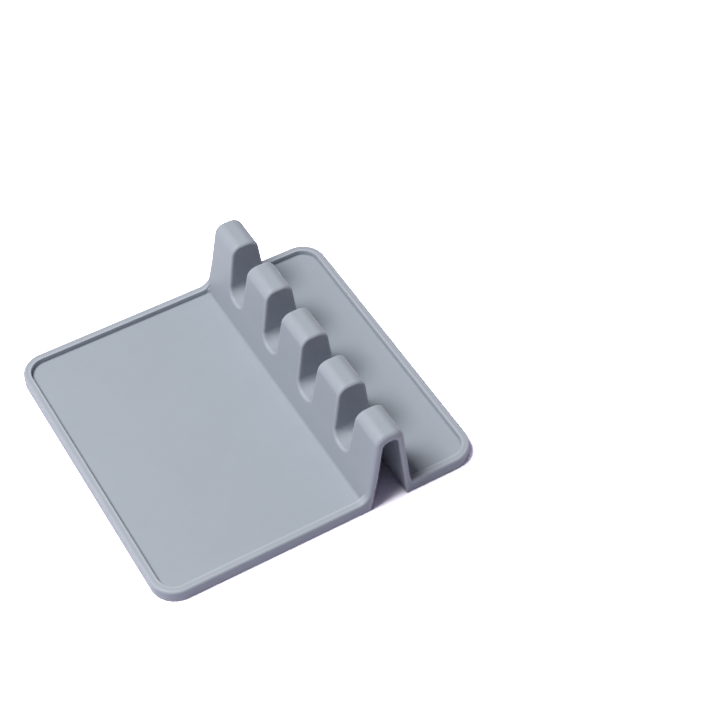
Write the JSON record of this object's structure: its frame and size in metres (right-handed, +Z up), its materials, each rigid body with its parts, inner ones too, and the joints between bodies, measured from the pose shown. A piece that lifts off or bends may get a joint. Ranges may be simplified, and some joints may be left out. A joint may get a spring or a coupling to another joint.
{
  "type": "spoon rest",
  "caption": "Moulded silicone spoon rest: a shallow rimmed tray crossed by a hollow fold whose upright posts leave slots for utensil handles.",
  "frame": {"origin": "middle of the footprint, on the surface that the rest stands on", "axes": "+X from the spoon-head tray to the handle tray, +Y along the fold, +Z up"},
  "size_m": [0.161, 0.1544, 0.046],
  "materials": {
    "silicone": "satin, fine matt moulding skin"
  },
  "bodies": {
    "root": {"front_floor": "silicone", "rear_floor": "silicone", "front_rim": "silicone", "rear_rim": "silicone", "post_1": "silicone", "post_2": "silicone", "post_3": "silicone", "post_4": "silicone", "post_5": "silicone", "saddle_1": "silicone", "saddle_2": "silicone", "saddle_3": "silicone", "saddle_4": "silicone"}
  },
  "joints": []
}
